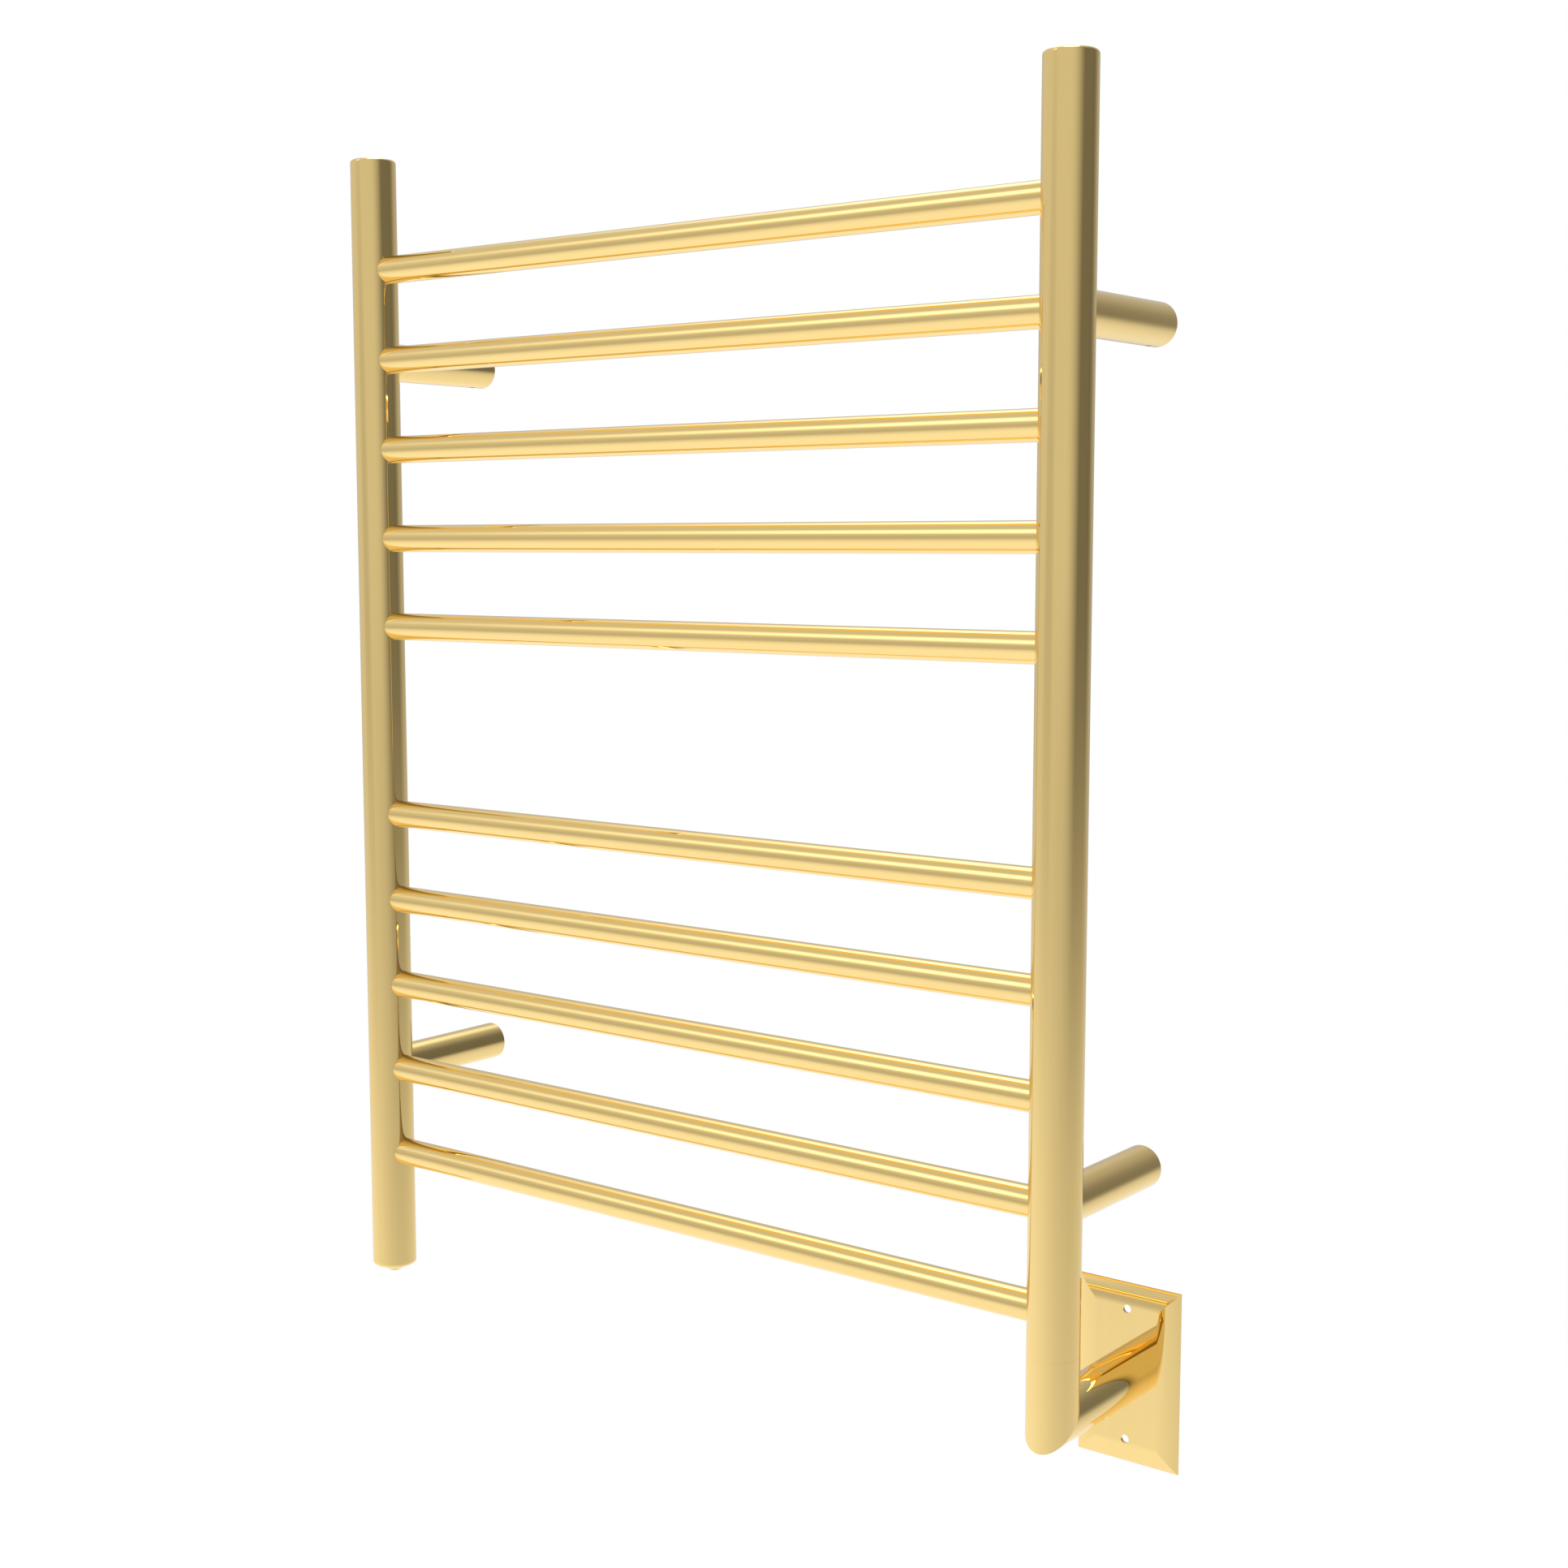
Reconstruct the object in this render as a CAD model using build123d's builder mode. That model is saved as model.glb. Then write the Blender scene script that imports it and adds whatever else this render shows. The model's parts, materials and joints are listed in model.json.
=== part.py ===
from build123d import *
from math import cos, radians, sin, sqrt
import os

os.makedirs("parts", exist_ok=True)

# A hard-wired ladder towel warmer for a wall. Millimetres.
# X runs to the right, Y into the wall and Z up.
# The origin is on the wall plane, midway between the four wall fixings.

# Ladder frame
upright_length = 800.0
upright_dia = 31.75
upright_wall = 1.5
upright_spacing = 565.15
overall_depth = 120.65
bar_dia = 19.05
bar_wall = 1.2
bar_pitch = 62.64
middle_gap = 135.32
bars_per_group = 5
head_above_top_bar = 76.7
braze_gap = 0.02
slip_gap = 0.075

# Closed tube ends
cap_thickness = 3.0
cap_edge = 2.2
cap_skirt = 6.0
cap_skirt_wall = 1.5

# Wall stand-offs, each pushed over a spigot and held by a set screw from below
standoff_dia = 26.6
standoff_wall = 1.8
standoff_edge = 0.8
spigot_clearance = 0.1
spigot_length = 28.0
spigot_chamfer = 1.0
fixing_hole_dia = 5.5
fixing_head_dia = 11.0
fixing_head_depth = 6.0
groove_start = 9.0
groove_width = 7.0
groove_depth = 3.0
set_screw_dia = 5.0
set_screw_recess = 0.3
set_screw_gap = 0.05
hex_key_flats = 2.5
hex_key_depth = 2.0

# Wiring elbow at the foot of the right upright
arm_above_foot = 21.16
seam_above_foot = 61.0
sleeve_length = 24.0
sleeve_wall = 1.2
bush_flange = 1.5
bush_length = 8.0
bush_bore_dia = 10.0
bush_lead_in = 1.0

# Cover plate, pressed from sheet, with a rounded border and mitred corners
plate_width = 69.85
plate_height = 114.3
plate_sheet = 2.0
plate_border = 14.2
plate_rise = 3.9
plate_lip = 0.7
plate_rim = 0.3
plate_off_wall = 11.75
plate_screw_spacing = 83.3
plate_screw_dia = 5.5
plate_arm_clearance = 0.3

# Heating circuit
cable_dia = 3.6
cable_rest_gap = 0.1
cable_loop_offset = 7.5
cable_bar_bend = 20.0
cable_elbow_bend = 30.0
return_top_bend = 16.0
return_bend = 60.0
return_elbow_bend = 18.0
return_drop = 55.0
lead_dia = 2.6
wire_gap = 0.05
wire_circle_r = 7.5
live_angle, neutral_angle, earth_angle = 0.0, 120.0, 240.0
block_inner_face = 34.0
block_outer_face = 16.0
block_hole_dia = 3.2
lead_grip = 8.0
cutout_dia = 8.4
cutout_edge = 1.0
cutout_inner_end = 72.0
cutout_outer_end = 50.0
splice_dia = 6.0
splice_edge = 0.6
splice_inner_end = 70.0
splice_outer_end = 54.0
splice_grip = 6.0
lug_length = 16.0
lug_width = 7.0
lug_sheet = 0.8
lug_corner = 2.0
lug_middle = 58.0
earth_bend_start = 40.0
earth_bend_end = 52.0
earth_end = 63.0
earth_bend = 28.0

# Sizes and places worked out from the values above
upright_r = upright_dia / 2
upright_bore_r = upright_r - upright_wall
upright_x = upright_spacing / 2
upright_y = upright_r - overall_depth
bar_r = bar_dia / 2
bar_bore_r = bar_r - bar_wall
levels_above_middle = [middle_gap / 2 + i * bar_pitch for i in range(bars_per_group)]
bar_levels = levels_above_middle[::-1] + [-level for level in levels_above_middle]
fixing_level = bar_levels[1]
head_level = bar_levels[0] + head_above_top_bar
foot_level = head_level - upright_length
arm_level = foot_level + arm_above_foot
seam_level = foot_level + seam_above_foot
bar_reach = upright_x + cable_loop_offset - cable_bar_bend
standoff_r = standoff_dia / 2
spigot_r = standoff_r - standoff_wall - spigot_clearance
groove_r = spigot_r - groove_depth
set_screw_y = -(groove_start + groove_width / 2)
plate_back = -plate_off_wall
plate_face = plate_back - plate_lip - plate_rise
plate_arc_r = (plate_border**2 + plate_rise**2) / (2 * plate_rise)
cable_r = cable_dia / 2
lead_r = lead_dia / 2
cable_sag = bar_bore_r - cable_r - cable_rest_gap
sides = {"left": -1, "right": 1}
rows = {"upper": fixing_level, "lower": -fixing_level}
arm_axis = Plane(origin=(upright_x, 0, arm_level), x_dir=(1, 0, 0), z_dir=(0, -1, 0))
mitre = Plane(origin=(upright_x, upright_y, arm_level), x_dir=(1, 0, 0), z_dir=(0, -1, 1))


def write_piece(piece, name):
    piece.label = name
    export_step(piece, f"parts/{name}.step")


def ring(outer_r, wall):
    Circle(outer_r)
    Circle(outer_r - wall, mode=Mode.SUBTRACT)


# Straight upright tube, drilled on its inner side for the ends of the towel bars
def make_upright(side, low_end):
    with BuildPart() as upright:
        with BuildSketch(Plane.XY.offset(low_end)):
            with Locations((side * upright_x, upright_y)):
                ring(upright_r, upright_wall)
        extrude(amount=head_level - cap_thickness - low_end)
        with BuildSketch(Plane.YZ.offset(side * upright_x)):
            with Locations([(upright_y, level) for level in bar_levels]):
                Circle(bar_r + braze_gap)
        extrude(amount=-side * upright_r, mode=Mode.SUBTRACT)
    return upright.part


# Plug that closes a tube: a disc with a rounded rim and a skirt inside the bore
def make_end_cap(side, outer_face, outward):
    with BuildPart() as cap:
        with BuildSketch(Plane.XY.offset(outer_face)):
            with Locations((side * upright_x, upright_y)):
                Circle(upright_r)
        extrude(amount=-outward * cap_thickness)
        rim = cap.edges().sort_by(Axis.Z)[-1 if outward > 0 else 0]
        fillet(rim, cap_edge)
        with BuildSketch(Plane.XY.offset(outer_face - outward * cap_thickness)):
            with Locations((side * upright_x, upright_y)):
                ring(upright_bore_r - slip_gap, cap_skirt_wall)
        extrude(amount=-outward * cap_skirt)
    return cap.part


# Towel bar whose plain ends pass through the uprights' inner walls
def make_towel_bar(level):
    with BuildPart() as bar:
        with BuildSketch(Plane.YZ.offset(-bar_reach)):
            with Locations((upright_y, level)):
                ring(bar_r, bar_wall)
        extrude(amount=2 * bar_reach)
    return bar.part


# Stand-off tube: coped over its upright and the end of a bar, rounded at the wall, drilled below
def make_standoff(side, level):
    with BuildPart() as standoff:
        with BuildSketch(Plane.XZ):
            with Locations((side * upright_x, level)):
                ring(standoff_r, standoff_wall)
        extrude(amount=-upright_y)
        wall_rim = standoff.faces().sort_by(Axis.Y)[-1].outer_wire().edges()
        fillet(wall_rim, standoff_edge)
        with BuildSketch(Plane.XY.offset(level)):
            with Locations((side * upright_x, upright_y)):
                Circle(upright_r + braze_gap)
        extrude(amount=standoff_dia, both=True, mode=Mode.SUBTRACT)
        with BuildSketch(Plane.YZ.offset(side * upright_x)):
            with Locations((upright_y, level)):
                Circle(bar_r + braze_gap)
        extrude(amount=-side * standoff_dia, mode=Mode.SUBTRACT)
        with BuildSketch(Plane.XY.offset(level)):
            with Locations((side * upright_x, set_screw_y)):
                Circle(set_screw_dia / 2 + set_screw_gap)
        extrude(amount=-standoff_dia, mode=Mode.SUBTRACT)
    return standoff.part


# Turned wall spigot with a groove for the set screw and a sunk seat for the fixing's head
def make_wall_spigot(side, level):
    axis_plane = Plane(origin=(side * upright_x, 0, level), x_dir=(1, 0, 0), z_dir=(0, 0, 1))
    hole_r = fixing_hole_dia / 2
    head_r = fixing_head_dia / 2
    groove_end = groove_start + groove_width
    with BuildPart() as spigot:
        with BuildSketch(axis_plane):
            with BuildLine():
                Polyline(
                    (hole_r, 0),
                    (spigot_r, 0),
                    (spigot_r, -groove_start),
                    (groove_r, -groove_start),
                    (groove_r, -groove_end),
                    (spigot_r, -groove_end),
                    (spigot_r, spigot_chamfer - spigot_length),
                    (spigot_r - spigot_chamfer, -spigot_length),
                    (head_r, -spigot_length),
                    (head_r, fixing_head_depth - spigot_length),
                    (hole_r, fixing_head_depth - spigot_length),
                    close=True,
                )
            make_face()
        revolve(axis=Axis((side * upright_x, 0, level), (0, 1, 0)))
    return spigot.part


# Outline across the pressed plate: a flat face that rolls over to its edges on two arcs.
# It is drawn a given skin thickness inside the plate, and its arcs fall back by a given drop.
def plate_outline(half_size, skin, drop):
    arc_r = plate_arc_r - skin
    face = plate_face + skin
    shoulder = face + drop
    flat = half_size - plate_border
    edge = flat + sqrt(arc_r**2 - (arc_r - drop) ** 2)
    with BuildLine() as outline:
        Line((-flat, face), (flat, face))
        TangentArc((flat, face), (edge, shoulder), tangent=(1, 0))
        Polyline((edge, shoulder), (edge, plate_back), (-edge, plate_back), (-edge, shoulder))
        TangentArc((-flat, face), (-edge, shoulder), tangent=(-1, 0))
    make_face(outline.edges())


# The plate's form where its two outlines cross, which mitres the border at the corners
def make_pressed_form(skin, drop):
    across = Plane(origin=(upright_x, 0, arm_level), x_dir=(1, 0, 0), z_dir=(0, 0, 1))
    upward = Plane(origin=(upright_x, 0, arm_level), x_dir=(0, 0, 1), z_dir=(-1, 0, 0))
    with BuildPart() as form:
        with BuildSketch(across):
            plate_outline(plate_width / 2, skin, drop)
        extrude(amount=plate_height / 2, both=True)
        with BuildSketch(upward):
            plate_outline(plate_height / 2, skin, drop)
        extrude(amount=plate_width / 2, both=True, mode=Mode.INTERSECT)
    return form.part


# A point beside the wiring arm's axis, by its angle and distance round the axis
def arm_point(angle, y, distance=wire_circle_r):
    x = upright_x + distance * cos(radians(angle))
    z = arm_level + distance * sin(radians(angle))
    return (x, y, z)


# Round wire swept along straight runs and the arcs that join them
def make_wire(points, radii, wire_r):
    with BuildPart() as wire:
        with BuildLine() as route:
            if radii:
                FilletPolyline(*points, radius=radii)
            else:
                Line(*points)
        path = route.wires()[0]
        with BuildSketch(Plane(origin=path @ 0, z_dir=path % 0)):
            Circle(wire_r)
        sweep(path=path)
    print(f"Wire length {path.length:.1f} mm")
    return wire.part


# Cylinder along the wiring arm, bored at both ends for a cable and a lead
def make_joint_body(angle, inner_end, outer_end, body_dia, grip, edge):
    near_end = arm_point(angle, -outer_end)
    far_end = arm_point(angle, -inner_end)
    with BuildPart() as body:
        with BuildSketch(Plane(origin=near_end, x_dir=(1, 0, 0), z_dir=(0, -1, 0))):
            Circle(body_dia / 2)
        extrude(amount=inner_end - outer_end)
        chamfer(body.edges().filter_by(GeomType.CIRCLE), edge)
        with BuildSketch(Plane(origin=near_end, x_dir=(1, 0, 0), z_dir=(0, -1, 0))):
            Circle(lead_r + wire_gap)
        extrude(amount=grip, mode=Mode.SUBTRACT)
        with BuildSketch(Plane(origin=far_end, x_dir=(1, 0, 0), z_dir=(0, 1, 0))):
            Circle(cable_r + wire_gap)
        extrude(amount=grip, mode=Mode.SUBTRACT)
    return body.part


# Uprights and their caps. The right upright stops at the seam with the wiring elbow.
write_piece(make_upright(-1, foot_level + cap_thickness), "left_upright")
write_piece(make_upright(1, seam_level), "right_upright")
write_piece(make_end_cap(-1, head_level, 1), "left_top_cap")
write_piece(make_end_cap(1, head_level, 1), "right_top_cap")
write_piece(make_end_cap(-1, foot_level, -1), "left_bottom_cap")

# Towel bars, counted from the top
for number, level in enumerate(bar_levels, start=1):
    write_piece(make_towel_bar(level), f"towel_bar_{number:02d}")

# Wall stand-offs and the spigots inside them
for row, level in rows.items():
    for hand, side in sides.items():
        write_piece(make_standoff(side, level), f"standoff_{row}_{hand}")
        write_piece(make_wall_spigot(side, level), f"wall_spigot_{row}_{hand}")

# Set screws, whose tips stand on the floors of the spigots' grooves
set_screw_length = standoff_r - set_screw_recess - groove_r
with BuildPart() as set_screws:
    for level in rows.values():
        with BuildSketch(Plane.XY.offset(level - groove_r)):
            with Locations([(side * upright_x, set_screw_y) for side in sides.values()]):
                Circle(set_screw_dia / 2)
        extrude(amount=-set_screw_length)
        with BuildSketch(Plane.XY.offset(level - groove_r - set_screw_length)):
            with Locations([(side * upright_x, set_screw_y) for side in sides.values()]):
                RegularPolygon(hex_key_flats / 2, side_count=6, major_radius=False)
        extrude(amount=hex_key_depth, mode=Mode.SUBTRACT)
write_piece(set_screws.part, "set_screws")

# Vertical stub of the wiring elbow, mitred at its foot
with BuildPart() as elbow_stub:
    with BuildSketch(Plane.XY.offset(seam_level)):
        with Locations((upright_x, upright_y)):
            ring(upright_r, upright_wall)
    extrude(amount=arm_level - upright_r - seam_level)
    split(bisect_by=mitre, keep=Keep.TOP)
write_piece(elbow_stub.part, "elbow_stub")

# Wiring arm, mitred to the stub and open at the wall for the inlet bush
with BuildPart() as wiring_arm:
    with BuildSketch(arm_axis.offset(bush_flange)):
        ring(upright_r, upright_wall)
    extrude(amount=overall_depth - bush_flange)
    split(bisect_by=mitre, keep=Keep.BOTTOM)
write_piece(wiring_arm.part, "wiring_arm")

# Sleeve inside the seam, which lines the elbow up with the upright
with BuildPart() as elbow_sleeve:
    with BuildSketch(Plane.XY.offset(seam_level - sleeve_length / 2)):
        with Locations((upright_x, upright_y)):
            ring(upright_bore_r - slip_gap, sleeve_wall)
    extrude(amount=sleeve_length)
write_piece(elbow_sleeve.part, "elbow_sleeve")

# Inlet bush in the arm's open end, with a bevelled lead-in for the supply wires
with BuildPart() as inlet_bush:
    with BuildSketch(arm_axis):
        Circle(upright_r - slip_gap)
    extrude(amount=bush_flange)
    with BuildSketch(arm_axis.offset(bush_flange)):
        Circle(upright_bore_r - slip_gap)
    extrude(amount=bush_length)
    with BuildSketch(arm_axis):
        Circle(bush_bore_dia / 2)
    extrude(amount=bush_flange + bush_length, mode=Mode.SUBTRACT)
    mouth = inlet_bush.faces().sort_by(Axis.Y)[-1].inner_wires()[0].edges()
    chamfer(mouth, bush_lead_in)
write_piece(inlet_bush.part, "inlet_bush")

# Cover plate: pressed shell, two screw holes and the hole that slides on the arm
plate_form = make_pressed_form(0, plate_rise)
plate_hollow = make_pressed_form(plate_sheet, plate_rise + plate_lip - plate_sheet - plate_rim)
with BuildPart() as cover_plate:
    add(plate_form)
    add(plate_hollow, mode=Mode.SUBTRACT)
    with BuildSketch(arm_axis):
        Circle(upright_r + plate_arm_clearance)
        with GridLocations(0, plate_screw_spacing, 1, 2):
            Circle(plate_screw_dia / 2)
    extrude(amount=overall_depth, mode=Mode.SUBTRACT)
write_piece(cover_plate.part, "cover_plate")

# Heating cable: one loop from the arm, up through every bar in turn and back down the right upright.
# It lies on the floor of each bar and turns inside the uprights.
cable_x = upright_x + cable_loop_offset
cable_points = [
    arm_point(live_angle, -(cutout_inner_end - splice_grip)),
    (cable_x, upright_y, arm_level),
]
heading = -1
for level in reversed(bar_levels):
    cable_points.append((-heading * cable_x, upright_y, level - cable_sag))
    cable_points.append((heading * cable_x, upright_y, level - cable_sag))
    heading = -heading
return_x, _, return_level = arm_point(neutral_angle, 0)
return_y = upright_y + return_level - arm_level
cable_points.append((return_x, return_y, bar_levels[0] - cable_sag - return_drop))
cable_points.append((return_x, return_y, return_level))
cable_points.append(arm_point(neutral_angle, -(splice_inner_end - splice_grip)))
cable_radii = [cable_elbow_bend] + [cable_bar_bend] * (2 * len(bar_levels) - 1)
cable_radii += [return_top_bend, return_bend, return_elbow_bend]
write_piece(make_wire(cable_points, cable_radii, cable_r), "heating_cable")

# Thermal cut-out on the live side and a crimped splice on the neutral side
thermal_cutout = make_joint_body(
    live_angle, cutout_inner_end, cutout_outer_end, cutout_dia, splice_grip, cutout_edge
)
write_piece(thermal_cutout, "thermal_cutout")
lead_splice = make_joint_body(
    neutral_angle, splice_inner_end, splice_outer_end, splice_dia, splice_grip, splice_edge
)
write_piece(lead_splice, "lead_splice")

# Leads from the cut-out, the splice and the earth lug into the terminal block
lead_end = -(block_inner_face - lead_grip)
live_points = [
    arm_point(live_angle, -(cutout_outer_end + splice_grip)),
    arm_point(live_angle, lead_end),
]
write_piece(make_wire(live_points, [], lead_r), "live_lead")
neutral_points = [
    arm_point(neutral_angle, -(splice_outer_end + splice_grip)),
    arm_point(neutral_angle, lead_end),
]
write_piece(make_wire(neutral_points, [], lead_r), "neutral_lead")
lug_distance = sqrt(upright_bore_r**2 - (lug_width / 2) ** 2) - braze_gap
earth_distance = lug_distance - lug_sheet - lead_r - braze_gap
earth_points = [
    arm_point(earth_angle, lead_end),
    arm_point(earth_angle, -earth_bend_start),
    arm_point(earth_angle, -earth_bend_end, earth_distance),
    arm_point(earth_angle, -earth_end, earth_distance),
]
write_piece(make_wire(earth_points, [earth_bend, earth_bend], lead_r), "earth_lead")

# Earth lug, a tab welded along its two long edges inside the arm
lug_outward = (cos(radians(earth_angle)), 0, sin(radians(earth_angle)))
lug_seat = arm_point(earth_angle, -lug_middle, lug_distance)
lug_plane = Plane(origin=lug_seat, x_dir=(0, 1, 0), z_dir=lug_outward)
with BuildPart() as earth_lug:
    with BuildSketch(lug_plane) as lug_shape:
        Rectangle(lug_length, lug_width)
        fillet(lug_shape.vertices(), lug_corner)
    extrude(amount=-lug_sheet)
write_piece(earth_lug.part, "earth_lug")

# Terminal block: a round insulator pushed into the arm, with a through hole for each pole
with BuildPart() as terminal_block:
    with BuildSketch(arm_axis.offset(block_outer_face)):
        Circle(upright_bore_r - slip_gap)
        with PolarLocations(wire_circle_r, 3):
            Circle(block_hole_dia / 2, mode=Mode.SUBTRACT)
    extrude(amount=block_inner_face - block_outer_face)
write_piece(terminal_block.part, "terminal_block")
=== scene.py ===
import json
import math

import bmesh
import bpy
from mathutils import Matrix, Vector


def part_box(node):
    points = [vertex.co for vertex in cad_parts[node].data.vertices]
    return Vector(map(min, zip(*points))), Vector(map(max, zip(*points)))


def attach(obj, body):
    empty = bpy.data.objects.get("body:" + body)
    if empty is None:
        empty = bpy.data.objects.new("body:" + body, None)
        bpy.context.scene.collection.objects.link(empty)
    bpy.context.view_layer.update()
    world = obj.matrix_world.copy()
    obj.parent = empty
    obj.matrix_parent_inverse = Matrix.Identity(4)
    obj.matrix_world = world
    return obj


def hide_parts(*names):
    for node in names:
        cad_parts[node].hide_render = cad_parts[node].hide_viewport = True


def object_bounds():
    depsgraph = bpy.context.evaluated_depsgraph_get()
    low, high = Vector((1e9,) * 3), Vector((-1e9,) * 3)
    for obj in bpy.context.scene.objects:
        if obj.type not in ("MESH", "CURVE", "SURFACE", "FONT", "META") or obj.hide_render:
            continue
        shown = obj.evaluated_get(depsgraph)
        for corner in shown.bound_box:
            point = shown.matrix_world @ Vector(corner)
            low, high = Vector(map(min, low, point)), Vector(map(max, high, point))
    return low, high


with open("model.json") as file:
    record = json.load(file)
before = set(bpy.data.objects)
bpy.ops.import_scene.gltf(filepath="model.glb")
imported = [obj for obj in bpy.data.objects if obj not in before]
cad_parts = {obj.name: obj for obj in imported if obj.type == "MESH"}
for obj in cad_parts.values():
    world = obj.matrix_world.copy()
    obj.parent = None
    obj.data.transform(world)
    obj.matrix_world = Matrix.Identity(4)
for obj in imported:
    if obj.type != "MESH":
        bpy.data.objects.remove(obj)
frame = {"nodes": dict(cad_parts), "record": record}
cadLow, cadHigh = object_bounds()
nodes = frame["nodes"]
slotOf = {part["node"]: part["material_slot"] for part in frame["record"]["subparts"]}
print("frame loaded with", len(nodes), "nodes")

mm = 0.001
brazeGap = 0.02 * mm  # between tubes that are joined
weldGap = 1e-7  # vertices nearer than this are one
rimSlack = 1e-6  # how far off a rim its own vertices may lie

# places and sizes that the pieces share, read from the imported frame
uprightLow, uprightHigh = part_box("left_upright")
uprightRadius = (uprightHigh.x - uprightLow.x) / 2
uprightX = -(uprightLow.x + uprightHigh.x) / 2
uprightY = (uprightLow.y + uprightHigh.y) / 2
sideX = {"left": -uprightX, "right": uprightX}
barNames = ["towel_bar_%02d" % number for number in range(1, 11)]
barLow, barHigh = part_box(barNames[0])
barRadius = (barHigh.y - barLow.y) / 2
barReach = barHigh.x
barZ = [(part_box(name)[0].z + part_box(name)[1].z) / 2 for name in barNames]
armLow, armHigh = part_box("wiring_arm")
armZ = (armLow.z + armHigh.z) / 2


def addNode(tree, kind, settings=None, inputs=None):
    node = tree.nodes.new(kind)
    for name, value in (settings or {}).items():
        setattr(node, name, value)
    for name, value in (inputs or {}).items():
        node.inputs[name].default_value = value
    return node


# the noise behind every finish
grainLook = {"roughness": 0.55, "span": (0.3, 0.7), "bumpDepth": 0.04 * mm}


def addGrain(tree, stretch, detail):  # noise on the piece's own coordinates, drawn out along its grain
    place = addNode(tree, "ShaderNodeTexCoord")
    mapping = addNode(tree, "ShaderNodeMapping", inputs={"Scale": stretch})
    grain = addNode(tree, "ShaderNodeTexNoise", inputs={
        "Scale": 1.0, "Detail": detail, "Roughness": grainLook["roughness"],
    })
    tree.links.new(place.outputs["Object"], mapping.inputs["Vector"])
    tree.links.new(mapping.outputs["Vector"], grain.inputs["Vector"])
    return grain.outputs["Fac"]


def spread(tree, value, low, high):
    weakest, strongest = grainLook["span"]
    span = addNode(tree, "ShaderNodeMapRange", inputs={
        "From Min": weakest, "From Max": strongest, "To Min": low, "To Max": high,
    })
    tree.links.new(value, span.inputs["Value"])
    return span.outputs["Result"]


def tint(tree, value, dark, light):
    ramp = addNode(tree, "ShaderNodeValToRGB")
    for element, position, colour in zip(ramp.color_ramp.elements, grainLook["span"], (dark, light)):
        element.position = position
        element.color = (*colour, 1)
    tree.links.new(value, ramp.inputs["Fac"])
    return ramp.outputs["Color"]


def makeSurface(name, look):
    material = bpy.data.materials.new(name)
    material.use_nodes = True
    tree = material.node_tree
    shader = tree.nodes["Principled BSDF"]
    shader.inputs["Metallic"].default_value = look["metallic"]
    grain = addGrain(tree, look["stretch"], look["detail"])
    tree.links.new(tint(tree, grain, look["dark"], look["light"]), shader.inputs["Base Color"])
    tree.links.new(spread(tree, grain, *look["roughness"]), shader.inputs["Roughness"])
    if "bump" in look:
        bump = addNode(tree, "ShaderNodeBump", inputs={
            "Strength": look["bump"], "Distance": grainLook["bumpDepth"],
        })
        tree.links.new(grain, bump.inputs["Height"])
        tree.links.new(bump.outputs["Normal"], shader.inputs["Normal"])
    return material


# polished gold: nearly a mirror, with a faint unevenness left by the buffing along each tube
goldLook = {
    "metallic": 1.0,
    "dark": (0.982, 0.732, 0.304),
    "light": (0.996, 0.748, 0.312),
    "roughness": (0.015, 0.026),
    "detail": 2.0,
}
goldBuffing = {"x": (6.0, 150.0, 150.0), "y": (150.0, 6.0, 150.0), "z": (150.0, 150.0, 6.0)}
gold = {}
for way, stretch in goldBuffing.items():
    gold[way] = makeSurface("polishedGold" + way.upper(), dict(goldLook, stretch=stretch))

# finishes of the smaller pieces, most of them inside
innerGrain = {"detail": 4.0, "bump": 0.15}
innerLooks = {
    "bare_steel": {
        "dark": (0.50, 0.50, 0.51), "light": (0.66, 0.66, 0.67), "metallic": 1.0,
        "roughness": (0.24, 0.36), "stretch": (60.0, 900.0, 60.0),
    },
    "tinned_brass": {
        "dark": (0.66, 0.62, 0.50), "light": (0.76, 0.73, 0.64), "metallic": 1.0,
        "roughness": (0.28, 0.40), "stretch": (300.0, 300.0, 300.0),
    },
    "silicone_sheath": {
        "dark": (0.42, 0.08, 0.06), "light": (0.52, 0.11, 0.08), "metallic": 0.0,
        "roughness": (0.55, 0.70), "stretch": (500.0, 500.0, 500.0),
    },
    "black_nylon": {
        "dark": (0.022, 0.022, 0.024), "light": (0.036, 0.036, 0.038), "metallic": 0.0,
        "roughness": (0.42, 0.58), "stretch": (900.0, 900.0, 900.0),
    },
    "white_nylon": {
        "dark": (0.74, 0.73, 0.69), "light": (0.82, 0.81, 0.77), "metallic": 0.0,
        "roughness": (0.40, 0.55), "stretch": (700.0, 700.0, 700.0),
    },
    "live_insulation": {
        "dark": (0.026, 0.026, 0.026), "light": (0.042, 0.042, 0.042), "metallic": 0.0,
        "roughness": (0.36, 0.50), "stretch": (700.0, 700.0, 700.0),
    },
    "neutral_insulation": {
        "dark": (0.68, 0.68, 0.66), "light": (0.76, 0.76, 0.74), "metallic": 0.0,
        "roughness": (0.36, 0.50), "stretch": (700.0, 700.0, 700.0),
    },
    "earth_insulation": {
        "dark": (0.05, 0.30, 0.07), "light": (0.08, 0.38, 0.10), "metallic": 0.0,
        "roughness": (0.36, 0.50), "stretch": (700.0, 700.0, 700.0),
    },
}
innerFinish = {}
for slotName, look in innerLooks.items():
    innerFinish[slotName] = makeSurface(slotName, dict(innerGrain, **look))
    for nodeName, node in nodes.items():
        if slotOf[nodeName] == slotName:
            node.data.materials.clear()
            node.data.materials.append(innerFinish[slotName])
print("materials made")


def linkPiece(name, bm, material):
    mesh = bpy.data.meshes.new(name)
    bm.to_mesh(mesh)
    bm.free()
    mesh.materials.append(material)
    piece = bpy.data.objects.new(name, mesh)
    bpy.context.scene.collection.objects.link(piece)
    return piece


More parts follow.
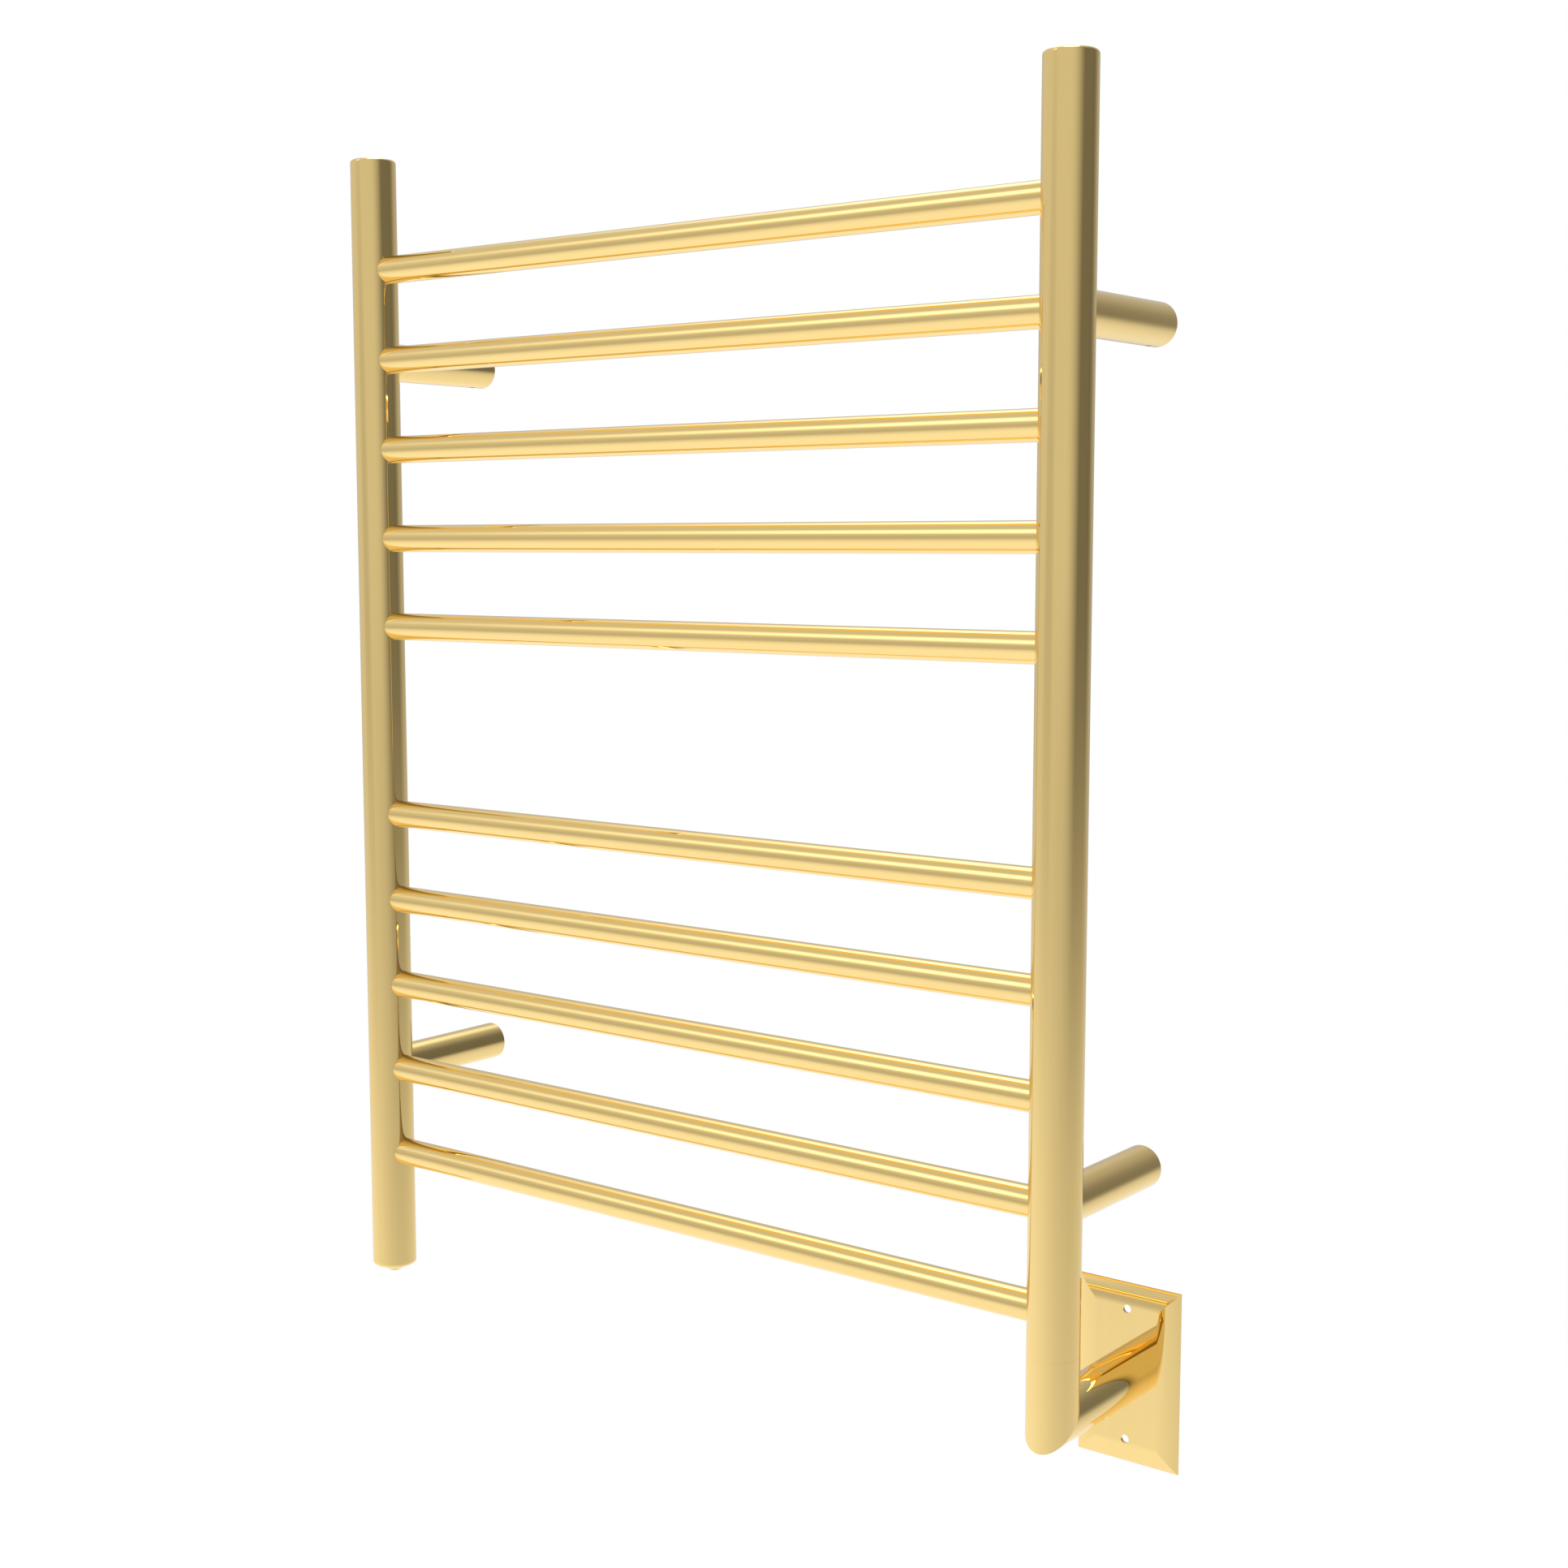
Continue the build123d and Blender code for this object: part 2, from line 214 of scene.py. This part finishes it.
def standFor(piece, node, body="rack"):
    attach(piece, body)
    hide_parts(node)


def turnProfile(points, segments, closed=True):  # points are (radius, height) and turn round the Z axis
    bm = bmesh.new()
    verts = [bm.verts.new((radius, 0, height)) for radius, height in points]
    ends = zip(verts, verts[1:] + verts[:1] if closed else verts[1:])
    edges = [bm.edges.new(pair) for pair in ends]
    bmesh.ops.spin(
        bm, geom=verts + edges, cent=(0, 0, 0), axis=(0, 0, 1),
        angle=math.tau, steps=segments, use_merge=True,
    )
    bmesh.ops.remove_doubles(bm, verts=bm.verts, dist=weldGap)
    bmesh.ops.recalc_face_normals(bm, faces=bm.faces)
    return bm


def turnTube(outer, wall, low, high, segments):
    inner = outer - wall
    return turnProfile([(outer, low), (outer, high), (inner, high), (inner, low)], segments)


def roundRim(bm, radius, height, size, steps):  # rounds the circular edge at that radius and height
    def onRim(vert):
        return abs(vert.co.z - height) < rimSlack and abs(vert.co.xy.length - radius) < rimSlack

    rim = [edge for edge in bm.edges if onRim(edge.verts[0]) and onRim(edge.verts[1])]
    bmesh.ops.bevel(
        bm, geom=rim, offset=size, offset_type="OFFSET", affect="EDGES",
        segments=steps, profile=0.5, material=-1,
    )


def layAlong(bm, axis, place):  # turns the Z axis to the tube's own axis and puts it in its place
    turn = Vector((0, 0, 1)).rotation_difference(Vector(axis)).to_matrix().to_4x4()
    bmesh.ops.transform(bm, matrix=Matrix.Translation(place) @ turn, verts=bm.verts)


def makeDrill(radius, axis, place, depth, segments=96):  # a rod with its middle at the place
    bm = bmesh.new()
    bmesh.ops.create_cone(bm, cap_ends=True, segments=segments, radius1=radius, radius2=radius, depth=depth)
    layAlong(bm, axis, place)
    return linkPiece("drill", bm, gold["z"])


def cutHoles(piece, drills):
    for drill in drills:
        hole = piece.modifiers.new("hole", "BOOLEAN")
        hole.operation = "DIFFERENCE"
        hole.solver = "EXACT"
        hole.object = drill
    solid = piece.evaluated_get(bpy.context.evaluated_depsgraph_get())
    mesh = bpy.data.meshes.new_from_object(solid)
    piece.modifiers.clear()
    piece.data = mesh
    for drill in drills:
        bpy.data.objects.remove(drill)


def smoothEdges(bm, limit=math.radians(30)):
    for face in bm.faces:
        face.smooth = True
    for edge in bm.edges:
        edge.smooth = len(edge.link_faces) != 2 or edge.calc_face_angle() < limit


def smoothTube(piece, place, axis, radius):  # a true round outer skin, also beside holes and rounded rims
    skinSlack = 8e-6  # where a hole cuts a facet, its corners lie a little inside the round
    mesh = piece.data
    bm = bmesh.new()
    bm.from_mesh(mesh)
    smoothEdges(bm)
    bm.to_mesh(mesh)
    bm.free()
    place, axis = Vector(place), Vector(axis)
    outward = []
    for vert in mesh.vertices:
        offset = vert.co - place
        outward.append(offset - axis * offset.dot(axis))
    normals = []
    for polygon in mesh.polygons:
        onSkin = all(abs(outward[index].length - radius) < skinSlack for index in polygon.vertices)
        normals += [outward[index].normalized() if onSkin else Vector() for index in polygon.vertices]
    mesh.normals_split_custom_set(normals)


# uprights with the bars' holes in their inner sides, and the caps that close them
uprightLook = {
    "wall": 1.5 * mm, "segments": 192, "seamEdge": 0.05 * mm, "seamSteps": 2,
    "capThickness": 3.0 * mm, "capEdge": 2.2 * mm, "capSteps": 8, "capFlatness": 100,
    "capSkirt": 1.5 * mm, "capSlip": 0.075 * mm,
}


def makeUpright(side):
    node = side + "_upright"
    low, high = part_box(node)
    bm = turnTube(uprightRadius, uprightLook["wall"], low.z, high.z, uprightLook["segments"])
    if side == "right":
        roundRim(bm, uprightRadius, low.z, uprightLook["seamEdge"], uprightLook["seamSteps"])
    place = (sideX[side], uprightY, 0)
    layAlong(bm, (0, 0, 1), place)
    piece = linkPiece(side + "Upright", bm, gold["z"])
    innerSide = sideX[side] - math.copysign(uprightRadius, sideX[side])
    drillLength = 1.6 * uprightRadius  # its inner half ends in the bore, short of the far wall
    cutHoles(piece, [
        makeDrill(barRadius + brazeGap, (1, 0, 0), (innerSide, uprightY, height), drillLength)
        for height in barZ
    ])
    smoothTube(piece, place, (0, 0, 1), uprightRadius)
    standFor(piece, node)


def makeCap(side, end):
    node = "%s_%s_cap" % (side, end)
    low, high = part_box(node)
    outward = 1 if end == "top" else -1
    outerFace, innerFace = (high.z, low.z) if end == "top" else (low.z, high.z)
    seat = outerFace - outward * uprightLook["capThickness"]
    skirt = uprightRadius - uprightLook["wall"] - uprightLook["capSlip"]
    bore = skirt - uprightLook["capSkirt"]
    points = [(0, outerFace), (uprightRadius, outerFace), (uprightRadius, seat), (skirt, seat)]
    points += [(skirt, innerFace), (bore, innerFace), (bore, seat), (0, seat)]
    bm = turnProfile(points, uprightLook["segments"], closed=False)
    roundRim(bm, uprightRadius, outerFace, uprightLook["capEdge"], uprightLook["capSteps"])
    layAlong(bm, (0, 0, 1), (sideX[side], uprightY, 0))
    smoothEdges(bm)
    piece = linkPiece("%s%sCap" % (side, end.capitalize()), bm, gold["z"])
    weigh = piece.modifiers.new("flatEnd", "WEIGHTED_NORMAL")
    weigh.keep_sharp = True
    weigh.weight = uprightLook["capFlatness"]
    standFor(piece, node)


for side in sideX:
    makeUpright(side)
    makeCap(side, "top")
makeCap("left", "bottom")
print("uprights made")

# push switch under the left upright's foot: one shallow dome, of a gold bezel and a black button
switchLook = {
    "dome": 12.0 * mm, "proud": 5.7 * mm, "button": 6.0 * mm, "groove": 0.12 * mm,
    "steps": 16, "segments": 128,
}


def domeArc(inner, outer):  # points on the dome from one radius out to another, below the foot
    dome, proud, steps = (switchLook[key] for key in ("dome", "proud", "steps"))
    start, end = math.asin(inner / dome), math.asin(outer / dome)
    for step in range(steps + 1):
        angle = start + (end - start) * step / steps
        yield dome * math.sin(angle), dome * (1 - math.cos(angle)) - proud


def makeSwitchPiece(name, points, closed, material):
    bm = turnProfile(points, switchLook["segments"], closed)
    layAlong(bm, (0, 0, 1), (sideX["left"], uprightY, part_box("left_bottom_cap")[0].z))
    smoothEdges(bm)
    piece = linkPiece(name, bm, material)
    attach(piece, "rack")


domeFoot = math.sqrt(switchLook["dome"]**2 - (switchLook["dome"] - switchLook["proud"])**2)
bezelBore = switchLook["button"] + switchLook["groove"]
bezelPoints = [*domeArc(bezelBore, domeFoot), (bezelBore, 0)]
makeSwitchPiece("switchBezel", bezelPoints, True, gold["z"])
buttonPoints = [*domeArc(0, switchLook["button"]), (switchLook["button"], 0), (0, 0)]
makeSwitchPiece("switchButton", buttonPoints, False, innerFinish["black_nylon"])
print("switch made")

# towel bars
barLook = {"wall": 1.2 * mm, "segments": 128}
for number, (name, height) in enumerate(zip(barNames, barZ), start=1):
    bm = turnTube(barRadius, barLook["wall"], -barReach, barReach, barLook["segments"])
    layAlong(bm, (1, 0, 0), (0, uprightY, height))
    smoothEdges(bm)
    standFor(linkPiece("towelBar%02d" % number, bm, gold["x"]), name)
print("bars made")

# stand-offs: coped over the upright, with a small rounded edge at the wall and a set screw's hole below
standoffLook = {
    "wall": 1.8 * mm, "segments": 128, "edge": 0.8 * mm, "edgeSteps": 5,
    "screwSlip": 0.05 * mm, "screwSegments": 48,
}


def makeStandoff(row, side):
    node = "standoff_%s_%s" % (row, side)
    low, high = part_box(node)
    radius = (high.x - low.x) / 2
    place = (sideX[side], 0, (low.z + high.z) / 2)
    bm = turnTube(radius, standoffLook["wall"], 0, -uprightY, standoffLook["segments"])
    roundRim(bm, radius, 0, standoffLook["edge"], standoffLook["edgeSteps"])
    layAlong(bm, (0, -1, 0), place)
    piece = linkPiece("standoff%s%s" % (row.capitalize(), side.capitalize()), bm, gold["y"])
    screwLow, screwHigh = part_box("set_screws")
    screwRadius = (screwHigh.y - screwLow.y) / 2 + standoffLook["screwSlip"]
    screwPlace = (sideX[side], (screwLow.y + screwHigh.y) / 2, place[2] - radius)
    throughCope = 4 * radius
    uprightPlace = (sideX[side], uprightY, place[2])
    barPlace = (0, uprightY, place[2])
    cutHoles(piece, [
        makeDrill(uprightRadius + brazeGap, (0, 0, 1), uprightPlace, throughCope, uprightLook["segments"]),
        makeDrill(barRadius + brazeGap, (1, 0, 0), barPlace, 2 * uprightX),
        makeDrill(screwRadius, (0, 0, 1), screwPlace, radius, standoffLook["screwSegments"]),
    ])
    smoothTube(piece, place, (0, 1, 0), radius)
    standFor(piece, node)


for row in ("upper", "lower"):
    for side in sideX:
        makeStandoff(row, side)
print("stand-offs made")

# wiring elbow: two tubes cut on the same 45 degree plane
elbowLook = {"wall": 1.5 * mm, "segments": 192, "overrun": 2 * uprightRadius}


def mitreLeg(bm, keepUpper):
    bmesh.ops.bisect_plane(
        bm, geom=bm.verts[:] + bm.edges[:] + bm.faces[:], dist=weldGap,
        plane_co=(uprightX, uprightY, armZ), plane_no=(0, -1, 1),
        clear_inner=keepUpper, clear_outer=not keepUpper,
    )
    bmesh.ops.bridge_loops(bm, edges=[edge for edge in bm.edges if edge.is_boundary])
    bmesh.ops.recalc_face_normals(bm, faces=bm.faces)


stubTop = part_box("elbow_stub")[1].z
bm = turnTube(uprightRadius, elbowLook["wall"], armZ - elbowLook["overrun"], stubTop, elbowLook["segments"])
roundRim(bm, uprightRadius, stubTop, uprightLook["seamEdge"], uprightLook["seamSteps"])
layAlong(bm, (0, 0, 1), (uprightX, uprightY, 0))
mitreLeg(bm, True)
stub = linkPiece("elbowStub", bm, gold["z"])
smoothTube(stub, (uprightX, uprightY, 0), (0, 0, 1), uprightRadius)
standFor(stub, "elbow_stub")

armEnd = -uprightY + elbowLook["overrun"]
bm = turnTube(uprightRadius, elbowLook["wall"], -armHigh.y, armEnd, elbowLook["segments"])
layAlong(bm, (0, -1, 0), (uprightX, 0, armZ))
mitreLeg(bm, False)
arm = linkPiece("wiringArm", bm, gold["y"])
smoothTube(arm, (uprightX, 0, armZ), (0, 1, 0), uprightRadius)
standFor(arm, "wiring_arm")
print("elbow made")

# cover plate: a flat that rolls over to its edges on an arc, with mitred corners and a hollow back
plateLook = {
    "border": 14.2 * mm, "rise": 3.9 * mm, "lip": 0.7 * mm, "sheet": 2.0 * mm, "rim": 0.3 * mm,
    "steps": 96, "screwSpacing": 83.3 * mm, "screwRadius": 2.75 * mm, "armGap": 0.012 * mm,
}


def plateSteps():  # how far out and back each ring lies, from the flat round to the hollow
    border, rise, sheet, count = (plateLook[key] for key in ("border", "rise", "sheet", "steps"))
    arc = (border**2 + rise**2) / (2 * rise)
    depth = rise + plateLook["lip"]
    hollowArc = arc - sheet
    hollowEnd = math.acos(1 - (depth - sheet - plateLook["rim"]) / hollowArc)
    outerEnd = math.asin(border / arc)
    for step in range(1, count + 1):
        angle = outerEnd * step / count
        yield arc * math.sin(angle), arc * (1 - math.cos(angle))
    yield border, depth
    yield hollowArc * math.sin(hollowEnd), depth
    for step in range(count, -1, -1):
        angle = hollowEnd * step / count
        yield hollowArc * math.sin(angle), sheet + hollowArc * (1 - math.cos(angle))


plateLow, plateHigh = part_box("cover_plate")
halfX = (plateHigh.x - plateLow.x) / 2 - plateLook["border"]
halfZ = (plateHigh.z - plateLow.z) / 2 - plateLook["border"]
bm = bmesh.new()
corners = [(-halfX, -halfZ), (halfX, -halfZ), (halfX, halfZ), (-halfX, halfZ)]
flat = bm.faces.new([bm.verts.new((uprightX + x, plateLow.y, armZ + z)) for x, z in corners])
ring = list(flat.edges)
for out, back in plateSteps():
    grown = bmesh.ops.extrude_edge_only(bm, edges=ring)["geom"]
    ring = [item for item in grown if isinstance(item, bmesh.types.BMEdge) and item.is_boundary]
    for vert in {vert for edge in ring for vert in edge.verts}:
        vert.co.x = uprightX + math.copysign(halfX + out, vert.co.x - uprightX)
        vert.co.z = armZ + math.copysign(halfZ + out, vert.co.z - armZ)
        vert.co.y = plateLow.y + back
bmesh.ops.contextual_create(bm, geom=ring)
bmesh.ops.recalc_face_normals(bm, faces=bm.faces)
plate = linkPiece("coverPlate", bm, gold["z"])
plateY = (plateLow.y + plateHigh.y) / 2
throughPlate = 4 * (plateHigh.y - plateLow.y)
armBore = uprightRadius + plateLook["armGap"]
drills = [makeDrill(armBore, (0, 1, 0), (uprightX, plateY, armZ), throughPlate, elbowLook["segments"])]
for way in (-1, 1):
    screwZ = armZ + way * plateLook["screwSpacing"] / 2
    drills.append(makeDrill(plateLook["screwRadius"], (0, 1, 0), (uprightX, plateY, screwZ), throughPlate))
cutHoles(plate, drills)
standFor(plate, "cover_plate", "cover")
print("cover plate made")

# pale floor below the rack, which fades out into the white surroundings and is clear from below
stageLook = {
    "drop": 0.5, "radius": 4.0, "segments": 96, "fade": (1.0, 3.2),
    "colour": (0.93, 0.93, 0.93), "seenWhite": 0.94,
}
bm = bmesh.new()
bmesh.ops.create_circle(bm, cap_ends=True, segments=stageLook["segments"], radius=stageLook["radius"])
floorMaterial = bpy.data.materials.new("paleFloor")
floorMaterial.use_nodes = True
tree = floorMaterial.node_tree
tree.nodes.remove(tree.nodes["Principled BSDF"])
floor = linkPiece("floor", bm, floorMaterial)
floor.location = (0, uprightY, cadLow.z - stageLook["drop"])
floor.visible_glossy = False
matte = addNode(tree, "ShaderNodeBsdfDiffuse", inputs={"Color": (*stageLook["colour"], 1)})
white = addNode(tree, "ShaderNodeEmission", inputs={"Color": (1, 1, 1, 1), "Strength": 1.0})
clear = addNode(tree, "ShaderNodeBsdfTransparent")

# the camera sees mostly white, and the matte rest keeps the rack's shadow
paths = addNode(tree, "ShaderNodeLightPath")
share = addNode(tree, "ShaderNodeMath", {"operation": "MULTIPLY"})
share.inputs[1].default_value = stageLook["seenWhite"]
tree.links.new(paths.outputs["Is Camera Ray"], share.inputs[0])
seen = addNode(tree, "ShaderNodeMixShader")
tree.links.new(share.outputs[0], seen.inputs["Fac"])
tree.links.new(matte.outputs[0], seen.inputs[1])
tree.links.new(white.outputs[0], seen.inputs[2])

# clear far out and from below
place = addNode(tree, "ShaderNodeTexCoord")
distance = addNode(tree, "ShaderNodeVectorMath", {"operation": "LENGTH"})
tree.links.new(place.outputs["Object"], distance.inputs[0])
fade = addNode(tree, "ShaderNodeMapRange", {"interpolation_type": "SMOOTHSTEP"})
fade.inputs["From Min"].default_value, fade.inputs["From Max"].default_value = stageLook["fade"]
tree.links.new(distance.outputs["Value"], fade.inputs["Value"])
underside = addNode(tree, "ShaderNodeNewGeometry")
hidden = addNode(tree, "ShaderNodeMath", {"operation": "MAXIMUM"})
tree.links.new(fade.outputs["Result"], hidden.inputs[0])
tree.links.new(underside.outputs["Backfacing"], hidden.inputs[1])
edgeMix = addNode(tree, "ShaderNodeMixShader")
tree.links.new(hidden.outputs[0], edgeMix.inputs["Fac"])
tree.links.new(seen.outputs[0], edgeMix.inputs[1])
tree.links.new(clear.outputs[0], edgeMix.inputs[2])
tree.links.new(edgeMix.outputs[0], tree.nodes["Material Output"].inputs["Surface"])
print("floor made")

# the soft studio that the polished tubes mirror
# azimuths run from +Y towards +X, and the angles are in degrees
# a box's left and right are along X on the unit sphere, and its foot and head are tilts from the room upwards
studio = {
    "walls": 0.66,
    "darkWall": {"towards": 71, "span": (0.02, 0.93), "power": 3.1, "change": -0.48, "height": (1.2, 0.5)},
    "rearWall": {"towards": 13, "span": (0.75, 1.0), "change": -0.18},
    "cameraGap": {"towards": (-145.5, -9), "reach": (27, 5), "change": -0.115},
    "rearGap": {"towards": (-40, -12), "reach": (50, 14), "change": -0.12},
    "ceilingLight": {"towards": (90, 89), "reach": (19, 13), "change": 4.9},
    "ground": {"blend": (0.02, -0.31), "height": (0.48, -0.61), "level": (0.10, 0.92), "across": -0.158},
    "frontBox": {
        "left": (-0.82, -0.45), "right": (-0.44, -0.52), "foot": (18, 50), "head": (63.5, 32), "glow": 1.92,
    },
    "rearBox": {
        "left": (-0.75, -0.34), "right": (0.15, -0.50), "foot": (85, 125), "head": (146, 111), "glow": 2.84,
    },
}
world = bpy.data.worlds.new("studio")
bpy.context.scene.world = world
world.use_nodes = True
sky = world.node_tree
sky.nodes.clear()


def heading(azimuth, elevation=0):
    turn, rise = math.radians(azimuth), math.radians(elevation)
    return Vector((math.sin(turn) * math.cos(rise), math.cos(turn) * math.cos(rise), math.sin(rise)))


def skyMath(operation, *values):
    node = addNode(sky, "ShaderNodeMath", {"operation": operation})
    for socket, value in zip(node.inputs, values):
        if isinstance(value, (int, float)):
            socket.default_value = value
        else:
            sky.links.new(value, socket)
    return node.outputs[0]


def skyVector(operation, vector, other=None):
    node = addNode(sky, "ShaderNodeVectorMath", {"operation": operation})
    sky.links.new(vector, node.inputs[0])
    if other is not None:
        node.inputs[1].default_value = other
    return node


def skyRamp(value, span, levels=(0.0, 1.0), shape="SMOOTHSTEP"):
    node = addNode(sky, "ShaderNodeMapRange", {"interpolation_type": shape}, {
        "From Min": span[0], "From Max": span[1], "To Min": levels[0], "To Max": levels[1],
    })
    sky.links.new(value, node.inputs["Value"])
    return node.outputs["Result"]


def facing(vector, *towards):
    return skyVector("DOT_PRODUCT", vector, heading(*towards)).outputs["Value"]


def roundPatch(look):  # reach is where the patch starts and where it is full
    reach = [math.cos(math.radians(angle)) for angle in look["reach"]]
    return skyRamp(facing(ray, *look["towards"]), reach)


def boxGlow(box):  # each side's pair is where the box starts and where it is full
    foot, head = ([math.radians(angle) for angle in box[end]] for end in ("foot", "head"))
    width = skyMath("MULTIPLY", skyRamp(sideways, box["left"]), skyRamp(sideways, box["right"]))
    height = skyMath("MULTIPLY", skyRamp(tilt, foot), skyRamp(tilt, head))
    return skyMath("MULTIPLY", skyMath("MULTIPLY", width, height), box["glow"])


skyPlace = addNode(sky, "ShaderNodeTexCoord")
ray = skyVector("NORMALIZE", skyPlace.outputs["Generated"]).outputs["Vector"]
levelRay = skyVector("MULTIPLY", ray, (1, 1, 0)).outputs["Vector"]
levelRay = skyVector("NORMALIZE", levelRay).outputs["Vector"]
parts = addNode(sky, "ShaderNodeSeparateXYZ")
sky.links.new(ray, parts.inputs[0])
sideways, upward = parts.outputs["X"], parts.outputs["Z"]
roomward = skyMath("MULTIPLY", parts.outputs["Y"], -1.0)
tilt = skyMath("ARCTAN2", upward, roomward)  # the angle round X, from the room upwards

darkLook, rearLook, groundLook = (studio[key] for key in ("darkWall", "rearWall", "ground"))
dark = skyRamp(facing(levelRay, darkLook["towards"]), darkLook["span"], shape="LINEAR")
dark = skyMath("POWER", dark, darkLook["power"])
dark = skyMath("MULTIPLY", dark, skyRamp(upward, darkLook["height"]))
glow = skyMath("MULTIPLY_ADD", dark, darkLook["change"], studio["walls"])
rear = skyRamp(facing(levelRay, rearLook["towards"]), rearLook["span"])
glow = skyMath("MULTIPLY_ADD", rear, rearLook["change"], glow)
for gap in ("cameraGap", "rearGap"):
    glow = skyMath("MULTIPLY_ADD", roundPatch(studio[gap]), studio[gap]["change"], glow)
ground = skyRamp(upward, groundLook["height"], groundLook["level"])
ground = skyMath("MULTIPLY_ADD", sideways, groundLook["across"], ground)
lift = skyMath("MULTIPLY", skyMath("SUBTRACT", ground, glow), skyRamp(upward, groundLook["blend"]))
glow = skyMath("ADD", glow, lift)
ceilingLook = studio["ceilingLight"]
glow = skyMath("MULTIPLY_ADD", roundPatch(ceilingLook), ceilingLook["change"], glow)
for box in ("frontBox", "rearBox"):
    glow = skyMath("ADD", glow, boxGlow(studio[box]))

# the camera itself sees white behind the rack
seenDirect = addNode(sky, "ShaderNodeLightPath").outputs["Is Camera Ray"]
glow = skyMath("MULTIPLY_ADD", glow, skyMath("SUBTRACT", 1.0, seenDirect), seenDirect)
background = addNode(sky, "ShaderNodeBackground", inputs={"Color": (1, 1, 1, 1)})
sky.links.new(glow, background.inputs["Strength"])
output = addNode(sky, "ShaderNodeOutputWorld")
sky.links.new(background.outputs[0], output.inputs["Surface"])
print("studio made")

# the photograph's view, in metres, radians and millimetres of film
cameraLook = {
    "place": (0.91069, -1.17487, 0.12643), "pitch": -0.10960, "yaw": 0.65792,
    "lens": 50.07, "sensor": 36.0, "far": 50.0,
}
camera = bpy.data.objects.new("camera", bpy.data.cameras.new("camera"))
bpy.context.scene.collection.objects.link(camera)
camera.location = cameraLook["place"]
camera.rotation_euler = (math.pi / 2 + cameraLook["pitch"], 0, cameraLook["yaw"])
camera.data.lens = cameraLook["lens"]
camera.data.sensor_width = cameraLook["sensor"]
camera.data.clip_end = cameraLook["far"]
bpy.context.scene.camera = camera
bpy.context.scene.view_settings.view_transform = "Standard"
print("camera set")
